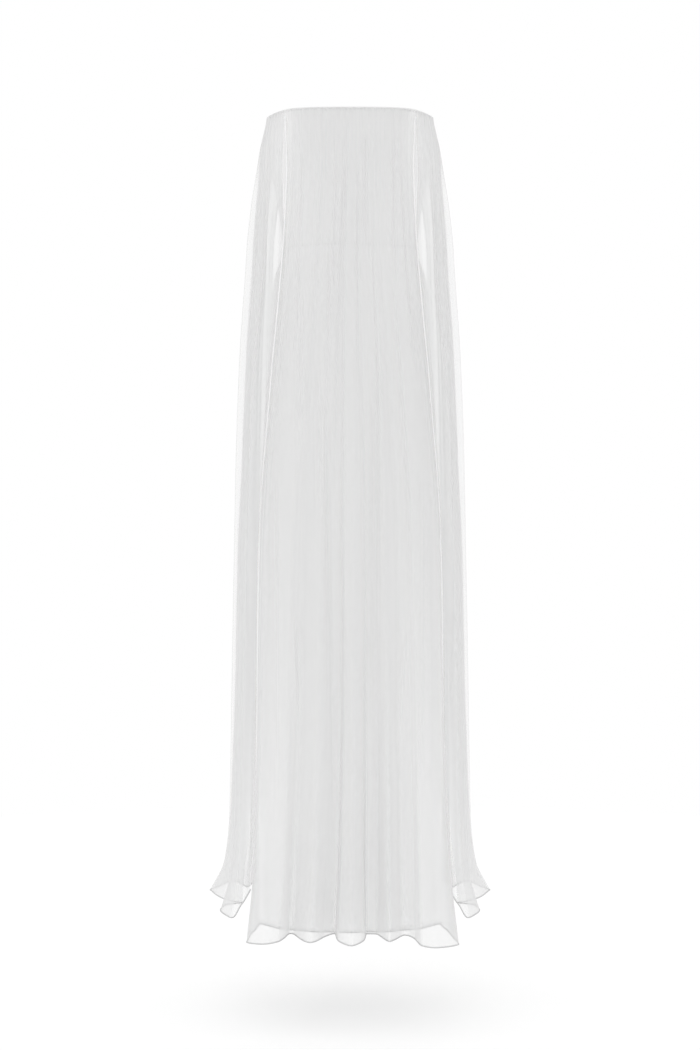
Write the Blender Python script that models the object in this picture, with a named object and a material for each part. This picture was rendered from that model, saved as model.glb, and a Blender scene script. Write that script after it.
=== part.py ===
"""Strapless corset gown, worn shape with no wearer, in metres, +Z up, front towards -Y.

A boned corset with soft cups runs from a narrow bound top edge to the waist, and a gathered
inner skirt hangs from its waist seam. Four sheer panels are gathered into the top edge over
them and fall free to the hem: a front panel, a back panel and a cape drape at each side. The
slits between the panels let the arms through. The origin is the centre of the top edge.
"""

import math
from collections import namedtuple

import bpy

# Driving sizes
LENGTH = 1.457  # top edge to the hem of the front panel
WAIST_DROP = 0.236  # top edge to the waist seam
SKIRT_DROP = 1.453  # top edge to the inner skirt's hem
SEAM_GAP = 0.0003  # parting between neighbouring pieces
SHEER_WALL = 0.0012
SKIRT_WALL = 0.0015
CORSET_WALL = 0.0020
BINDING_HEIGHT = 0.006
BINDING_WALL = 0.0046
PANEL_TOP = BINDING_HEIGHT + SEAM_GAP  # where the gathered edges start, under the binding

# Corset cups: where each swells most, and how far it spreads
CUP_FULLNESS = 0.006
CUP_ANGLE = 27.0
CUP_ANGLE_SPREAD = 17.0
CUP_DROP = 0.060
CUP_DROP_SPREAD = 0.030

# A section is a superellipse at one drop below the top edge. Angles run from the front
# centre (0) over the wearer's left side (+X, 90) to the back centre (180). flare is how much
# of the hem's flutes has opened at that height.
Section = namedtuple("Section", "drop half_width front back centre squareness start end flare",
                     defaults=(0, 0, 0))

# A turn is a place where the fluted hem of a panel turns, seen in plan. at is its share of the
# panel's width, drop is how far below the top edge the hem hangs there.
Turn = namedtuple("Turn", "at x y drop")

# The outside of the corset at its top edge, which the binding folds over
TOP_HALF_WIDTH = 0.1505
TOP_FRONT = 0.1195
TOP_BACK = 0.1005
TOP_SQUARENESS = 3.0

CORSET_SECTIONS = [
    Section(PANEL_TOP, 0.1495, 0.1185, 0.0995, 0.0, 3.0),
    Section(0.045, 0.1478, 0.1170, 0.0975, 0.0, 2.7),
    Section(0.090, 0.1425, 0.1100, 0.0945, 0.0, 2.5),
    Section(0.130, 0.1355, 0.1010, 0.0915, 0.0, 2.4),
    Section(0.180, 0.1265, 0.0940, 0.0885, 0.0, 2.3),
    Section(WAIST_DROP - SEAM_GAP, 0.1205, 0.0900, 0.0865, 0.0, 2.2),
]

SKIRT_SECTIONS = [
    Section(WAIST_DROP, 0.1205, 0.0900, 0.0865, 0.0, 2.2),
    Section(0.246, 0.1300, 0.0915, 0.0900, 0.0, 2.2),
    Section(0.275, 0.1350, 0.0945, 0.0970, 0.0, 2.2),
    Section(0.350, 0.1415, 0.1010, 0.1090, 0.0, 2.2),
    Section(0.450, 0.1470, 0.1060, 0.1170, 0.0, 2.2),
    Section(0.600, 0.1520, 0.1085, 0.1210, 0.0, 2.2),
    Section(0.800, 0.1550, 0.1100, 0.1250, 0.0, 2.2),
    Section(1.200, 0.1600, 0.1120, 0.1300, 0.0, 2.2),
    Section(SKIRT_DROP, 0.1640, 0.1130, 0.1350, 0.0, 2.2),
]

FRONT_SECTIONS = [
    Section(PANEL_TOP, 0.1514, 0.1204, 0.1014, 0.0, 3.0, -41.5, 41.5, 0.0),
    Section(0.050, 0.1510, 0.1285, 0.1017, 0.0, 2.8, -42.0, 42.0, 0.01),
    Section(0.120, 0.1480, 0.1310, 0.1017, 0.0, 2.5, -45.0, 45.0, 0.04),
    Section(0.240, 0.1420, 0.1315, 0.1017, 0.0, 2.5, -53.0, 53.0, 0.09),
    Section(0.360, 0.1445, 0.1315, 0.1017, 0.0, 2.55, -60.0, 60.0, 0.11),
    Section(0.480, 0.1490, 0.1315, 0.1017, 0.0, 2.6, -68.5, 68.5, 0.14),
    Section(0.760, 0.1650, 0.1325, 0.1017, 0.0, 2.6, -78.0, 78.0, 0.20),
    Section(1.050, 0.1690, 0.1335, 0.1017, -0.002, 2.6, -80.0, 80.0, 0.32),
    Section(1.330, 0.1700, 0.1330, 0.1017, -0.004, 2.6, -81.0, 81.0, 0.66),
    Section(LENGTH, 0.1690, 0.1330, 0.1017, -0.006, 2.6, -82.0, 82.0, 1.0),
]

SIDE_SECTIONS = [
    Section(PANEL_TOP, 0.1514, 0.1204, 0.1014, 0.0, 3.0, 42.2, 138.0, 0.0),
    Section(0.045, 0.1535, 0.1215, 0.1080, 0.0, 2.8, 43.5, 136.0, 0.13),
    Section(0.090, 0.1560, 0.1225, 0.1150, 0.0, 2.6, 45.5, 131.0, 0.20),
    Section(0.150, 0.1575, 0.1250, 0.1210, 0.0, 2.5, 47.5, 124.0, 0.32),
    Section(0.240, 0.1590, 0.1300, 0.1300, 0.002, 2.5, 50.0, 118.0, 0.44),
    Section(0.420, 0.1695, 0.1350, 0.1400, 0.005, 2.8, 57.0, 123.0, 0.48),
    Section(0.600, 0.1765, 0.1400, 0.1480, 0.015, 3.0, 64.0, 127.0, 0.50),
    Section(0.800, 0.1825, 0.1500, 0.1550, 0.035, 3.0, 66.0, 130.0, 0.50),
    Section(1.050, 0.1885, 0.1600, 0.1650, 0.055, 3.0, 68.0, 131.0, 0.50),
    Section(1.200, 0.1920, 0.1700, 0.1700, 0.070, 3.0, 68.0, 132.0, 0.50),
    Section(1.300, 0.1940, 0.1800, 0.1700, 0.085, 3.0, 66.0, 134.0, 0.53),
    Section(1.375, 0.1970, 0.1900, 0.1700, 0.095, 3.0, 65.0, 136.0, 0.63),
    Section(1.437, 0.2000, 0.1950, 0.1700, 0.100, 3.0, 64.0, 137.0, 1.0),
]

BACK_SECTIONS = [
    Section(PANEL_TOP, 0.1514, 0.1204, 0.1014, 0.0, 3.0, 138.8, 221.2, 0.0),
    Section(0.050, 0.1540, 0.1097, 0.1110, 0.0, 2.7, 139.0, 221.0, 0.03),
    Section(0.120, 0.1600, 0.1097, 0.1270, 0.0, 2.5, 140.0, 220.0, 0.10),
    Section(0.240, 0.1640, 0.1097, 0.1450, 0.0, 2.4, 141.0, 219.0, 0.20),
    Section(0.480, 0.1650, 0.1097, 0.1720, 0.003, 2.4, 141.0, 219.0, 0.35),
    Section(0.800, 0.1660, 0.1097, 0.1930, 0.010, 2.4, 141.0, 219.0, 0.50),
    Section(1.200, 0.1700, 0.1097, 0.2130, 0.022, 2.4, 140.0, 220.0, 0.72),
    Section(LENGTH, 0.1780, 0.1097, 0.2280, 0.030, 2.4, 139.0, 221.0, 1.0),
]

FRONT_TURNS = [
    Turn(0.000, -0.1610, -0.0580, 1.450),
    Turn(0.060, -0.1710, -0.1020, 1.453),
    Turn(0.130, -0.1785, -0.1780, 1.456),
    Turn(0.195, -0.1516, -0.1985, 1.456),
    Turn(0.250, -0.1240, -0.1865, 1.455),
    Turn(0.310, -0.1040, -0.1250, 1.453),
    Turn(0.385, -0.0690, -0.1900, 1.455),
    Turn(0.435, -0.0440, -0.1490, 1.454),
    Turn(0.468, -0.0270, -0.1270, 1.453),
    Turn(0.492, -0.0200, -0.1800, 1.454),
    Turn(0.518, 0.0020, -0.2130, 1.456),
    Turn(0.545, 0.0225, -0.1780, 1.454),
    Turn(0.570, 0.0285, -0.1270, 1.453),
    Turn(0.603, 0.0460, -0.1280, 1.453),
    Turn(0.650, 0.0680, -0.1840, 1.455),
    Turn(0.700, 0.0960, -0.1340, 1.454),
    Turn(0.740, 0.1135, -0.1600, 1.455),
    Turn(0.780, 0.1245, -0.2120, 1.456),
    Turn(0.830, 0.1500, -0.2240, 1.457),
    Turn(0.885, 0.1870, -0.1970, 1.456),
    Turn(0.945, 0.1740, -0.1180, 1.453),
    Turn(1.000, 0.1610, -0.0580, 1.450),
]

SIDE_TURNS = [
    Turn(0.000, 0.1790, -0.0380, 1.392),
    Turn(0.060, 0.1940, -0.0700, 1.412),
    Turn(0.130, 0.2100, -0.0740, 1.435),
    Turn(0.210, 0.2360, 0.0050, 1.437),
    Turn(0.260, 0.2260, 0.0580, 1.437),
    Turn(0.310, 0.1980, 0.0700, 1.436),
    Turn(0.360, 0.2250, 0.0880, 1.436),
    Turn(0.430, 0.2500, 0.1450, 1.437),
    Turn(0.490, 0.2645, 0.1930, 1.437),
    Turn(0.510, 0.2680, 0.2050, 1.437),
    Turn(0.530, 0.2645, 0.2170, 1.437),
    Turn(0.590, 0.2490, 0.2680, 1.438),
    Turn(0.640, 0.2300, 0.3050, 1.438),
    Turn(0.710, 0.2010, 0.2500, 1.440),
    Turn(0.780, 0.1960, 0.2850, 1.441),
    Turn(0.850, 0.1860, 0.3350, 1.443),
    Turn(0.920, 0.1620, 0.3150, 1.445),
    Turn(1.000, 0.1560, 0.2550, 1.447),
]

BACK_TURNS = [
    Turn(0.000, 0.1340, 0.2350, 1.449),
    Turn(0.110, 0.1140, 0.2850, 1.453),
    Turn(0.230, 0.0800, 0.2380, 1.452),
    Turn(0.350, 0.0430, 0.2920, 1.456),
    Turn(0.470, 0.0130, 0.2450, 1.454),
    Turn(0.590, -0.0240, 0.3000, 1.457),
    Turn(0.700, -0.0600, 0.2400, 1.453),
    Turn(0.800, -0.0900, 0.2860, 1.455),
    Turn(0.900, -0.1130, 0.2420, 1.451),
    Turn(1.000, -0.1360, 0.2600, 1.449),
]

# How the rows of a falling panel are spaced, as shares of its length: close at the gathers
# and at the fluted hem
PANEL_ROWS = [0.0, 0.028, 0.07, 0.14, 0.23, 0.34, 0.47, 0.60, 0.73, 0.84, 0.91, 0.96, 1.0]
CORSET_ROWS = [0.0, 0.17, 0.36, 0.55, 0.77, 1.0]
SKIRT_ROWS = [0.0, 0.012, 0.04, 0.12, 0.30, 0.55, 0.80, 1.0]
COLUMNS_PER_GATHER = 4
CORSET_COLUMN_ANGLE = 10.0
BINDING_COLUMNS = 64
PATH_SAMPLES = 160

# Gathers: small waves that start full at a gathered edge and fade towards the hem
GATHER_DEPTH = 0.0008
GATHER_SWELL = 0.0032  # how much deeper they get just below the edge
GATHER_SWELL_DROP = 0.045
GATHER_FADE = 0.75
GATHER_FADE_DROP = 0.75
FRONT_GATHERS, SIDE_GATHERS, BACK_GATHERS, SKIRT_GATHERS = 18, 12, 16, 7
SKIRT_GATHER_DEPTH = 0.0045

Colour = namedtuple("Colour", "red green blue roughness")
SHEER_CLOTH = Colour(0.78, 0.78, 0.78, 0.85)
SKIRT_CLOTH = Colour(0.76, 0.76, 0.76, 0.75)
CORSET_CLOTH = Colour(0.75, 0.75, 0.75, 0.60)
BINDING_CLOTH = Colour(0.74, 0.74, 0.74, 0.70)


def clear_scene():
    """Removes whatever the file opened with."""
    for old in list(bpy.data.objects):
        bpy.data.objects.remove(old, do_unlink=True)


def smooth_step(share):
    """Eases from 0 to 1."""
    share = min(max(share, 0.0), 1.0)
    return share * share * (3 - 2 * share)


def value_at(rows, key, column, place):
    """Reads a column of a table at a place along its key, on a smooth curve through its rows."""
    keys = [getattr(row, key) for row in rows]
    values = [getattr(row, column) for row in rows]
    if place <= keys[0]:
        return values[0]
    if place >= keys[-1]:
        return values[-1]
    i = next(n for n in range(len(keys) - 1) if place <= keys[n + 1])
    slopes = [(values[n + 1] - values[n]) / (keys[n + 1] - keys[n]) for n in range(len(keys) - 1)]

    def tangent(n):
        """The curve's slope at row n, flat where the values turn round."""
        if n in (0, len(keys) - 1):
            return slopes[min(n, len(slopes) - 1)]
        before, after = slopes[n - 1], slopes[n]
        return 0.0 if before * after <= 0 else 2 * before * after / (before + after)

    span = keys[i + 1] - keys[i]
    t = (place - keys[i]) / span
    return (values[i] * (1 + 2 * t) * (1 - t) ** 2 + values[i + 1] * t * t * (3 - 2 * t)
            + tangent(i) * span * t * (1 - t) ** 2 - tangent(i + 1) * span * t * t * (1 - t))


def section_at(sections, drop):
    """The section at any drop below the top edge."""
    read = [value_at(sections, "drop", column, drop) for column in Section._fields[1:]]
    return Section(drop, *read)


def superellipse_point(section, angle):
    """A point of the section in plan, at an angle in degrees from the front centre."""
    power = 2 / section.squareness
    side, ahead = math.sin(math.radians(angle)), math.cos(math.radians(angle))
    depth = section.front if ahead > 0 else section.back
    x = math.copysign(abs(side) ** power, side) * section.half_width
    y = section.centre - math.copysign(abs(ahead) ** power, ahead) * depth
    return x, y


def path_points(section, shares):
    """Points at shares of the length of the section's path, each with its outward and onward way."""
    step = (section.end - section.start) / PATH_SAMPLES
    fine = [superellipse_point(section, section.start + step * n) for n in range(PATH_SAMPLES + 1)]
    along = [0.0]
    for here, there in zip(fine, fine[1:]):
        along.append(along[-1] + math.dist(here, there))
    made, n = [], 0
    for share in shares:
        target = share * along[-1]
        while n < PATH_SAMPLES - 1 and along[n + 1] < target:
            n += 1
        part = (target - along[n]) / (along[n + 1] - along[n])
        (x0, y0), (x1, y1) = fine[n], fine[n + 1]
        span = math.dist(fine[n], fine[n + 1])
        onward = (x1 - x0) / span, (y1 - y0) / span
        outward = onward[1], -onward[0]
        made.append(((x0 + (x1 - x0) * part, y0 + (y1 - y0) * part), outward, onward))
    return made


def gather_shift(count, across, drop):
    """How far a gather stands out, a wave that is deepest below the edge and fades downwards."""
    crest = math.sin(math.pi * count * across) ** 2
    swelling = smooth_step(drop / GATHER_SWELL_DROP) * GATHER_SWELL
    fading = 1 - GATHER_FADE * smooth_step(drop / GATHER_FADE_DROP)
    return (GATHER_DEPTH + swelling) * fading * crest


def panel_grid(sections, turns, gathers):
    """Rows of points down a falling panel of sheer cloth, fluted towards its hem."""
    columns = gathers * COLUMNS_PER_GATHER
    shares = [n / columns for n in range(columns + 1)]
    top, bottom = sections[0].drop, sections[-1].drop
    hem_path = [point for point, _, _ in path_points(sections[-1], shares)]
    hem = [[value_at(turns, "at", column, share) for column in ("x", "y", "drop")] for share in shares]
    rows = []
    for down in PANEL_ROWS:
        drop = top + (bottom - top) * down
        section = section_at(sections, drop)
        row = []
        for n, ((x, y), outward, _) in enumerate(path_points(section, shares)):
            out = gather_shift(gathers, shares[n], drop)
            x += outward[0] * out + section.flare * (hem[n][0] - hem_path[n][0])
            y += outward[1] * out + section.flare * (hem[n][1] - hem_path[n][1])
            row.append((x, y, -(top + (hem[n][2] - top) * down)))
        rows.append(row)
    return rows


def fitted_grid(sections, row_shares, start, end, columns, shape=None):
    """Rows of points round part of the corset or the inner skirt. shape adds form at a place."""
    top, bottom = sections[0].drop, sections[-1].drop
    rows = []
    for down in row_shares:
        drop = top + (bottom - top) * down
        section = section_at(sections, drop)._replace(start=start, end=end)
        shares = [n / columns for n in range(columns + 1)]
        row = []
        for across, (point, outward, _) in zip(shares, path_points(section, shares)):
            out = shape(across, start + (end - start) * across, drop) if shape else 0.0
            row.append((point[0] + outward[0] * out, point[1] + outward[1] * out, -drop))
        rows.append(row)
    return rows


def mirrored(grid):
    """The same cloth at the wearer's other side, its columns kept in the same turning sense."""
    return [[(-x, y, z) for x, y, z in reversed(row)] for row in grid]


def cloth_material(name, colour):
    """A matt cloth in the colour and roughness given."""
    material = bpy.data.materials.new(name)
    material.use_nodes = True
    shader = material.node_tree.nodes["Principled BSDF"]
    shader.inputs["Base Color"].default_value = (colour.red, colour.green, colour.blue, 1)
    shader.inputs["Roughness"].default_value = colour.roughness
    shader.inputs["Metallic"].default_value = 0.0
    return material


def plan_normals(row, closed):
    """The outward way at each point of a row, square to the row in plan."""
    last = len(row) - 1
    normals = []
    for n in range(len(row)):
        before = row[n - 1] if closed or n else row[0]
        after = row[(n + 1) % len(row)] if closed else row[min(n + 1, last)]
        x, y = after[0] - before[0], after[1] - before[1]
        span = math.hypot(x, y)
        normals.append((y / span, -x / span))
    return normals


def cloth_wall(name, grid, thickness, material, closed=False):
    """Makes a closed wall of cloth, half its thickness to each side of a grid of points."""
    rows, columns = len(grid), len(grid[0])
    points, faces = [], []
    for side in (thickness / 2, -thickness / 2):
        for row in grid:
            for (x, y, z), (nx, ny) in zip(row, plan_normals(row, closed)):
                points.append((x + nx * side, y + ny * side, z))
    inner = rows * columns

    def quad(a, b, c, d):
        """Adds a four-sided patch as two triangles."""
        faces.extend([(a, b, c), (a, c, d)])

    for j in range(columns if closed else columns - 1):
        right = (j + 1) % columns
        for i in range(rows - 1):
            upper, lower = i * columns, (i + 1) * columns
            quad(upper + j, lower + j, lower + right, upper + right)
            quad(inner + upper + right, inner + lower + right, inner + lower + j, inner + upper + j)
        hem = (rows - 1) * columns
        quad(j, right, inner + right, inner + j)
        quad(inner + hem + j, inner + hem + right, hem + right, hem + j)
    if not closed:
        for i in range(rows - 1):
            upper, lower = i * columns, (i + 1) * columns
            quad(inner + upper, inner + lower, lower, upper)
            end = columns - 1
            quad(upper + end, lower + end, inner + lower + end, inner + upper + end)

    mesh = bpy.data.meshes.new(name)
    mesh.from_pydata(points, [], faces)
    mesh.materials.append(material)
    mesh.update()
    wall = bpy.data.objects.new(name, mesh)
    bpy.context.scene.collection.objects.link(wall)


def cup_shape(_across, angle, drop):
    """The cups' fullness on the corset front."""
    spread = ((abs(angle) - CUP_ANGLE) / CUP_ANGLE_SPREAD) ** 2 + ((drop - CUP_DROP) / CUP_DROP_SPREAD) ** 2
    return CUP_FULLNESS * math.exp(-spread)


def skirt_shape(across, _angle, drop):
    """The inner skirt's gathers, which open below the waist seam."""
    opening = smooth_step((drop - WAIST_DROP) / 0.06)
    return SKIRT_GATHER_DEPTH * opening * math.sin(math.pi * SKIRT_GATHERS * across) ** 2


def gap_angle(half_width):
    """Half the seam gap, as an angle at the side of a section."""
    return math.degrees(SEAM_GAP / 2 / half_width) + 0.02


def build_corset(material):
    """The corset: one front between the side seams, and two backs that meet at the centre back."""
    side = gap_angle(CORSET_SECTIONS[-1].half_width) * 2
    spans = {
        "corset_front": (-90 + side, 90 - side, cup_shape),
        "corset_back_left": (90 + side, 180 - side, None),
        "corset_back_right": (180 + side, 270 - side, None),
    }
    for name, (start, end, shape) in spans.items():
        columns = round((end - start) / CORSET_COLUMN_ANGLE)
        grid = fitted_grid(CORSET_SECTIONS, CORSET_ROWS, start, end, columns, shape)
        cloth_wall(name, grid, CORSET_WALL, material)


def build_skirt(material):
    """The inner skirt: a front and a back that meet at the side seams."""
    side = gap_angle(SKIRT_SECTIONS[0].half_width) * 3
    columns = SKIRT_GATHERS * COLUMNS_PER_GATHER
    for name, middle in (("skirt_front", 0), ("skirt_back", 180)):
        start, end = middle - 90 + side, middle + 90 - side
        grid = fitted_grid(SKIRT_SECTIONS, SKIRT_ROWS, start, end, columns, skirt_shape)
        cloth_wall(name, grid, SKIRT_WALL, material)


def build_panels(material):
    """The sheer panels that fall from the top edge: front, back and a cape drape at each side."""
    front = panel_grid(FRONT_SECTIONS, FRONT_TURNS, FRONT_GATHERS)
    back = panel_grid(BACK_SECTIONS, BACK_TURNS, BACK_GATHERS)
    side = panel_grid(SIDE_SECTIONS, SIDE_TURNS, SIDE_GATHERS)
    cloth_wall("panel_front", front, SHEER_WALL, material)
    cloth_wall("panel_back", back, SHEER_WALL, material)
    cloth_wall("cape_left", side, SHEER_WALL, material)
    cloth_wall("cape_right", mirrored(side), SHEER_WALL, material)


def build_binding(material):
    """The narrow bound edge that closes the top of the corset and the gathered panels."""
    inner = TOP_HALF_WIDTH - CORSET_WALL, TOP_FRONT - CORSET_WALL, TOP_BACK - CORSET_WALL
    half_width, front, back = (size + BINDING_WALL / 2 for size in inner)
    section = Section(0, half_width, front, back, 0.0, TOP_SQUARENESS, -180, 180)
    shares = [n / BINDING_COLUMNS for n in range(BINDING_COLUMNS)]
    ring = [point for point, _, _ in path_points(section, shares)]
    grid = [[(x, y, z) for x, y in ring] for z in (0.0, -BINDING_HEIGHT)]
    cloth_wall("top_binding", grid, BINDING_WALL, material, closed=True)


def main():
    """Builds the whole gown."""
    clear_scene()
    build_corset(cloth_material("corset cloth", CORSET_CLOTH))
    build_skirt(cloth_material("inner skirt cloth", SKIRT_CLOTH))
    build_panels(cloth_material("sheer cloth", SHEER_CLOTH))
    build_binding(cloth_material("binding cloth", BINDING_CLOTH))


main()
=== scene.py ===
"""The look of the strapless corset gown: gathered chiffon over a satin corset and a lining.

Every length is in metres and every drop is measured down from the top edge. Angles run from the
front centre (0) over the wearer's left side (90) to the back centre (180). A share runs from 0 to
1 across a piece, from its start angle to its end angle.
"""

import logging
import math
from dataclasses import dataclass, field, fields, replace
from enum import Enum, IntEnum
from functools import partial
from typing import Callable, Optional, Sequence

import bpy
import numpy as np
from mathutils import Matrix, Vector


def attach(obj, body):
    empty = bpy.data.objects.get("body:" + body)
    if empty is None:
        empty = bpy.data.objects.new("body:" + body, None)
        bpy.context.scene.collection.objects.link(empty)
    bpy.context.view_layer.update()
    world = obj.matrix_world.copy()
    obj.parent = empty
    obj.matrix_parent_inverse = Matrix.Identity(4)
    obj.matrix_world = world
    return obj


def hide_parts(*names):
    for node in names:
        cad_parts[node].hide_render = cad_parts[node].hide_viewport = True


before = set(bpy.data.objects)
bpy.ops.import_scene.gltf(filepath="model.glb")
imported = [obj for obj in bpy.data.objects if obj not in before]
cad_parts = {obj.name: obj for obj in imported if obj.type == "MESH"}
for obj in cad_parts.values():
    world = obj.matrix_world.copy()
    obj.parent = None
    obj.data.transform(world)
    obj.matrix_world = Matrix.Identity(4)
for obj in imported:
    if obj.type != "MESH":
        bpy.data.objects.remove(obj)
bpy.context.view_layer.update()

LOG = logging.getLogger("gown")

# Drops of the panels' gathered edge, the waist seam, the lining's hem and the lowest flute
PANEL_TOP = 0.0063
WAIST_DROP = 0.236
SKIRT_DROP = 1.453
LENGTH = 1.457

# The rise of the top edge over the bust is whole this far forward, and ends at this drop
RISE_FRONT = 0.03
RISE_FADE = 0.08

# The camera stands level, as far off as the overlap of the hem's flutes says; the sensor is in mm
CAMERA_DISTANCE = 3.6
CAMERA_DROP = 0.735
FOCAL_PIXELS = 1977
PHOTO_HEIGHT = 1050
SENSOR = 36.0

# Steps along a superellipse when its length is measured
PATH_STEPS = 721

# A panel's rows lie closer together at the gathers and at the hem
ROW_PLACES = (0, 0.25, 0.75, 1)
ROW_DOWNS = (0, 0.16, 0.80, 1)

# A hem's roll has six sides
ROLL_RESOLUTION = 1


# Curves


def smooth_step(places: np.ndarray | float) -> np.ndarray:
    """Eases from 0 to 1 between places 0 and 1."""
    held = np.clip(places, 0.0, 1.0)
    return held * held * (3 - 2 * held)


def smooth_curve(keys: Sequence[float], values: Sequence[float], places: np.ndarray) -> np.ndarray:
    """Reads a smooth curve that runs through the values and never overshoots them.

    Args:
        keys: rising places where the values are known.
        values: one value for each key.
        places: where to read the curve.

    Returns:
        The curve's value at each place, held at its ends.
    """
    k, v = np.asarray(keys, float), np.asarray(values, float)
    slopes = np.diff(v) / np.diff(k)
    tangents = np.zeros(len(v))
    tangents[0], tangents[-1] = slopes[0], slopes[-1]
    before, after = slopes[:-1], slopes[1:]
    same = before * after > 0
    tangents[1:-1][same] = 2 * before[same] * after[same] / (before[same] + after[same])
    held = np.clip(np.asarray(places, float), k[0], k[-1])
    i = np.clip(np.searchsorted(k, held, side="left") - 1, 0, len(k) - 2)
    span = k[i + 1] - k[i]
    t = (held - k[i]) / span
    return (
        v[i] * (1 + 2 * t) * (1 - t) ** 2
        + v[i + 1] * t * t * (3 - 2 * t)
        + tangents[i] * span * t * (1 - t) ** 2
        - tangents[i + 1] * span * t * t * (1 - t)
    )


def slow_waves(shares: np.ndarray, seed: int, count: int, strongest: float) -> np.ndarray:
    """Adds a few slow waves of chance size that stay the same on every run.

    Args:
        shares: where to read them, from 0 to 1.
        seed: which set of waves.
        count: how many waves.
        strongest: the size of the strongest one.

    Returns:
        Their sum at each share.
    """
    chance = np.random.default_rng(seed)
    total = np.zeros_like(shares)
    for n in range(1, count + 1):
        size = strongest * chance.uniform(0.35, 1.0) / n**0.5
        total += size * np.sin(2 * math.pi * (n * shares + chance.uniform(0, 1)))
    return total


def read_rows(rows: Sequence[object], key: str, column: str, places: np.ndarray) -> np.ndarray:
    """Reads one column of a table as a smooth curve.

    Args:
        rows: the table.
        key: the column that says where each row stands.
        column: the column to read.
        places: where to read it.

    Returns:
        The value at each place.
    """
    keys = [getattr(row, key) for row in rows]
    return smooth_curve(keys, [getattr(row, column) for row in rows], places)


def read_drop(rows: Sequence[object], column: str, drop: float) -> float:
    """Reads one column of a table at one drop."""
    return float(read_rows(rows, "drop", column, np.array([drop]))[0])


# Rows of the tables of form


@dataclass(frozen=True)
class Section:
    """A superellipse in plan at one drop, the stretch of it that a piece covers, and its flare."""

    drop: float
    half_width: float
    front: float
    back: float
    centre: float
    squareness: float
    start: float = 0.0
    end: float = 0.0
    flare: float = 0.0


@dataclass(frozen=True)
class Turn:
    """A place where a fluted hem turns, at a share of the panel's width, seen in plan."""

    at: float
    x: float
    y: float
    drop: float


@dataclass(frozen=True)
class Rise:
    """How far the front of the top edge stands above level, at a distance from the middle."""

    x: float
    height: float


@dataclass(frozen=True)
class Fullness:
    """How many times over the cloth is folded into its surface, by gathers too fine to model."""

    drop: float
    times: float


@dataclass(frozen=True)
class Tuck:
    """How far a panel's free edge is moved in plan at a drop, to lie before or behind another."""

    drop: float
    x: float
    y: float


@dataclass(frozen=True)
class Cut:
    """One piece of the corset or the lining: its node, the angles it spans and its flat cut."""

    node: str
    start: float
    end: float
    width: float
    height: float


# Forms that fold the cloth


class Draw(IntEnum):
    """Which of a panel's chance rows is drawn, added to its seed."""

    DRIFT = 0
    STRENGTH = 1
    REACH = 2
    FINE_REACH = 3
    FLUTTER = 5
    LAYERS = 6


@dataclass(frozen=True)
class Variation:
    """A value that varies slowly across a panel, by a few waves of chance size."""

    mean: float
    spread: float
    waves: int

    def across(self, shares: np.ndarray, seed: int) -> np.ndarray:
        """Reads the value at each share."""
        return self.mean + slow_waves(shares, seed, self.waves, self.spread)


@dataclass(frozen=True)
class Crease:
    """One long fold: where it starts and ends, how far it bows, how deep it is.

    A positive depth is a ridge and a negative one a valley. It deepens over the first part of its
    length, the onset, and dies away over the last, the fade.
    """

    top: float
    low: float
    start: float
    end: float
    depth: float
    width: float
    bow: float = 0.0
    onset: float = 0.18
    fade: float = 0.30

    def relief(self, shares: np.ndarray, drop: float) -> np.ndarray:
        """How far the crease moves a row out.

        Args:
            shares: the row's points.
            drop: the row's drop below the top edge.

        Returns:
            The distance at each point, none above its start and below its end.
        """
        t = (drop - self.start) / (self.end - self.start)
        at = self.top + (self.low - self.top) * t + 4 * self.bow * t * (1 - t)
        swell = smooth_step(t / self.onset) * smooth_step((1 - t) / self.fade)
        place = (shares - at) / self.width
        return self.depth * swell * np.exp(-place * place)


@dataclass(frozen=True)
class ClearLoop:
    """A long narrow fold of smooth, unfolded cloth that stands out at a cape's side."""

    top: float
    low: float
    width: float
    times: float
    start: float = 0.02
    onset: float = 0.07

    def clearness(self, shares: np.ndarray, downs: np.ndarray) -> np.ndarray:
        """How much of the gathers' fullness the loop takes away.

        Args:
            shares: the columns of the panel's grid.
            downs: its rows, from 0 at the top to 1 at the hem.

        Returns:
            A grid of shares, 1 along the loop's flat middle.
        """
        at = self.top + (self.low - self.top) * downs[:, None]
        across = np.exp(-(((shares - at) / self.width) ** 4))
        return across * smooth_step((downs[:, None] - self.start) / self.onset)


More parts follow.
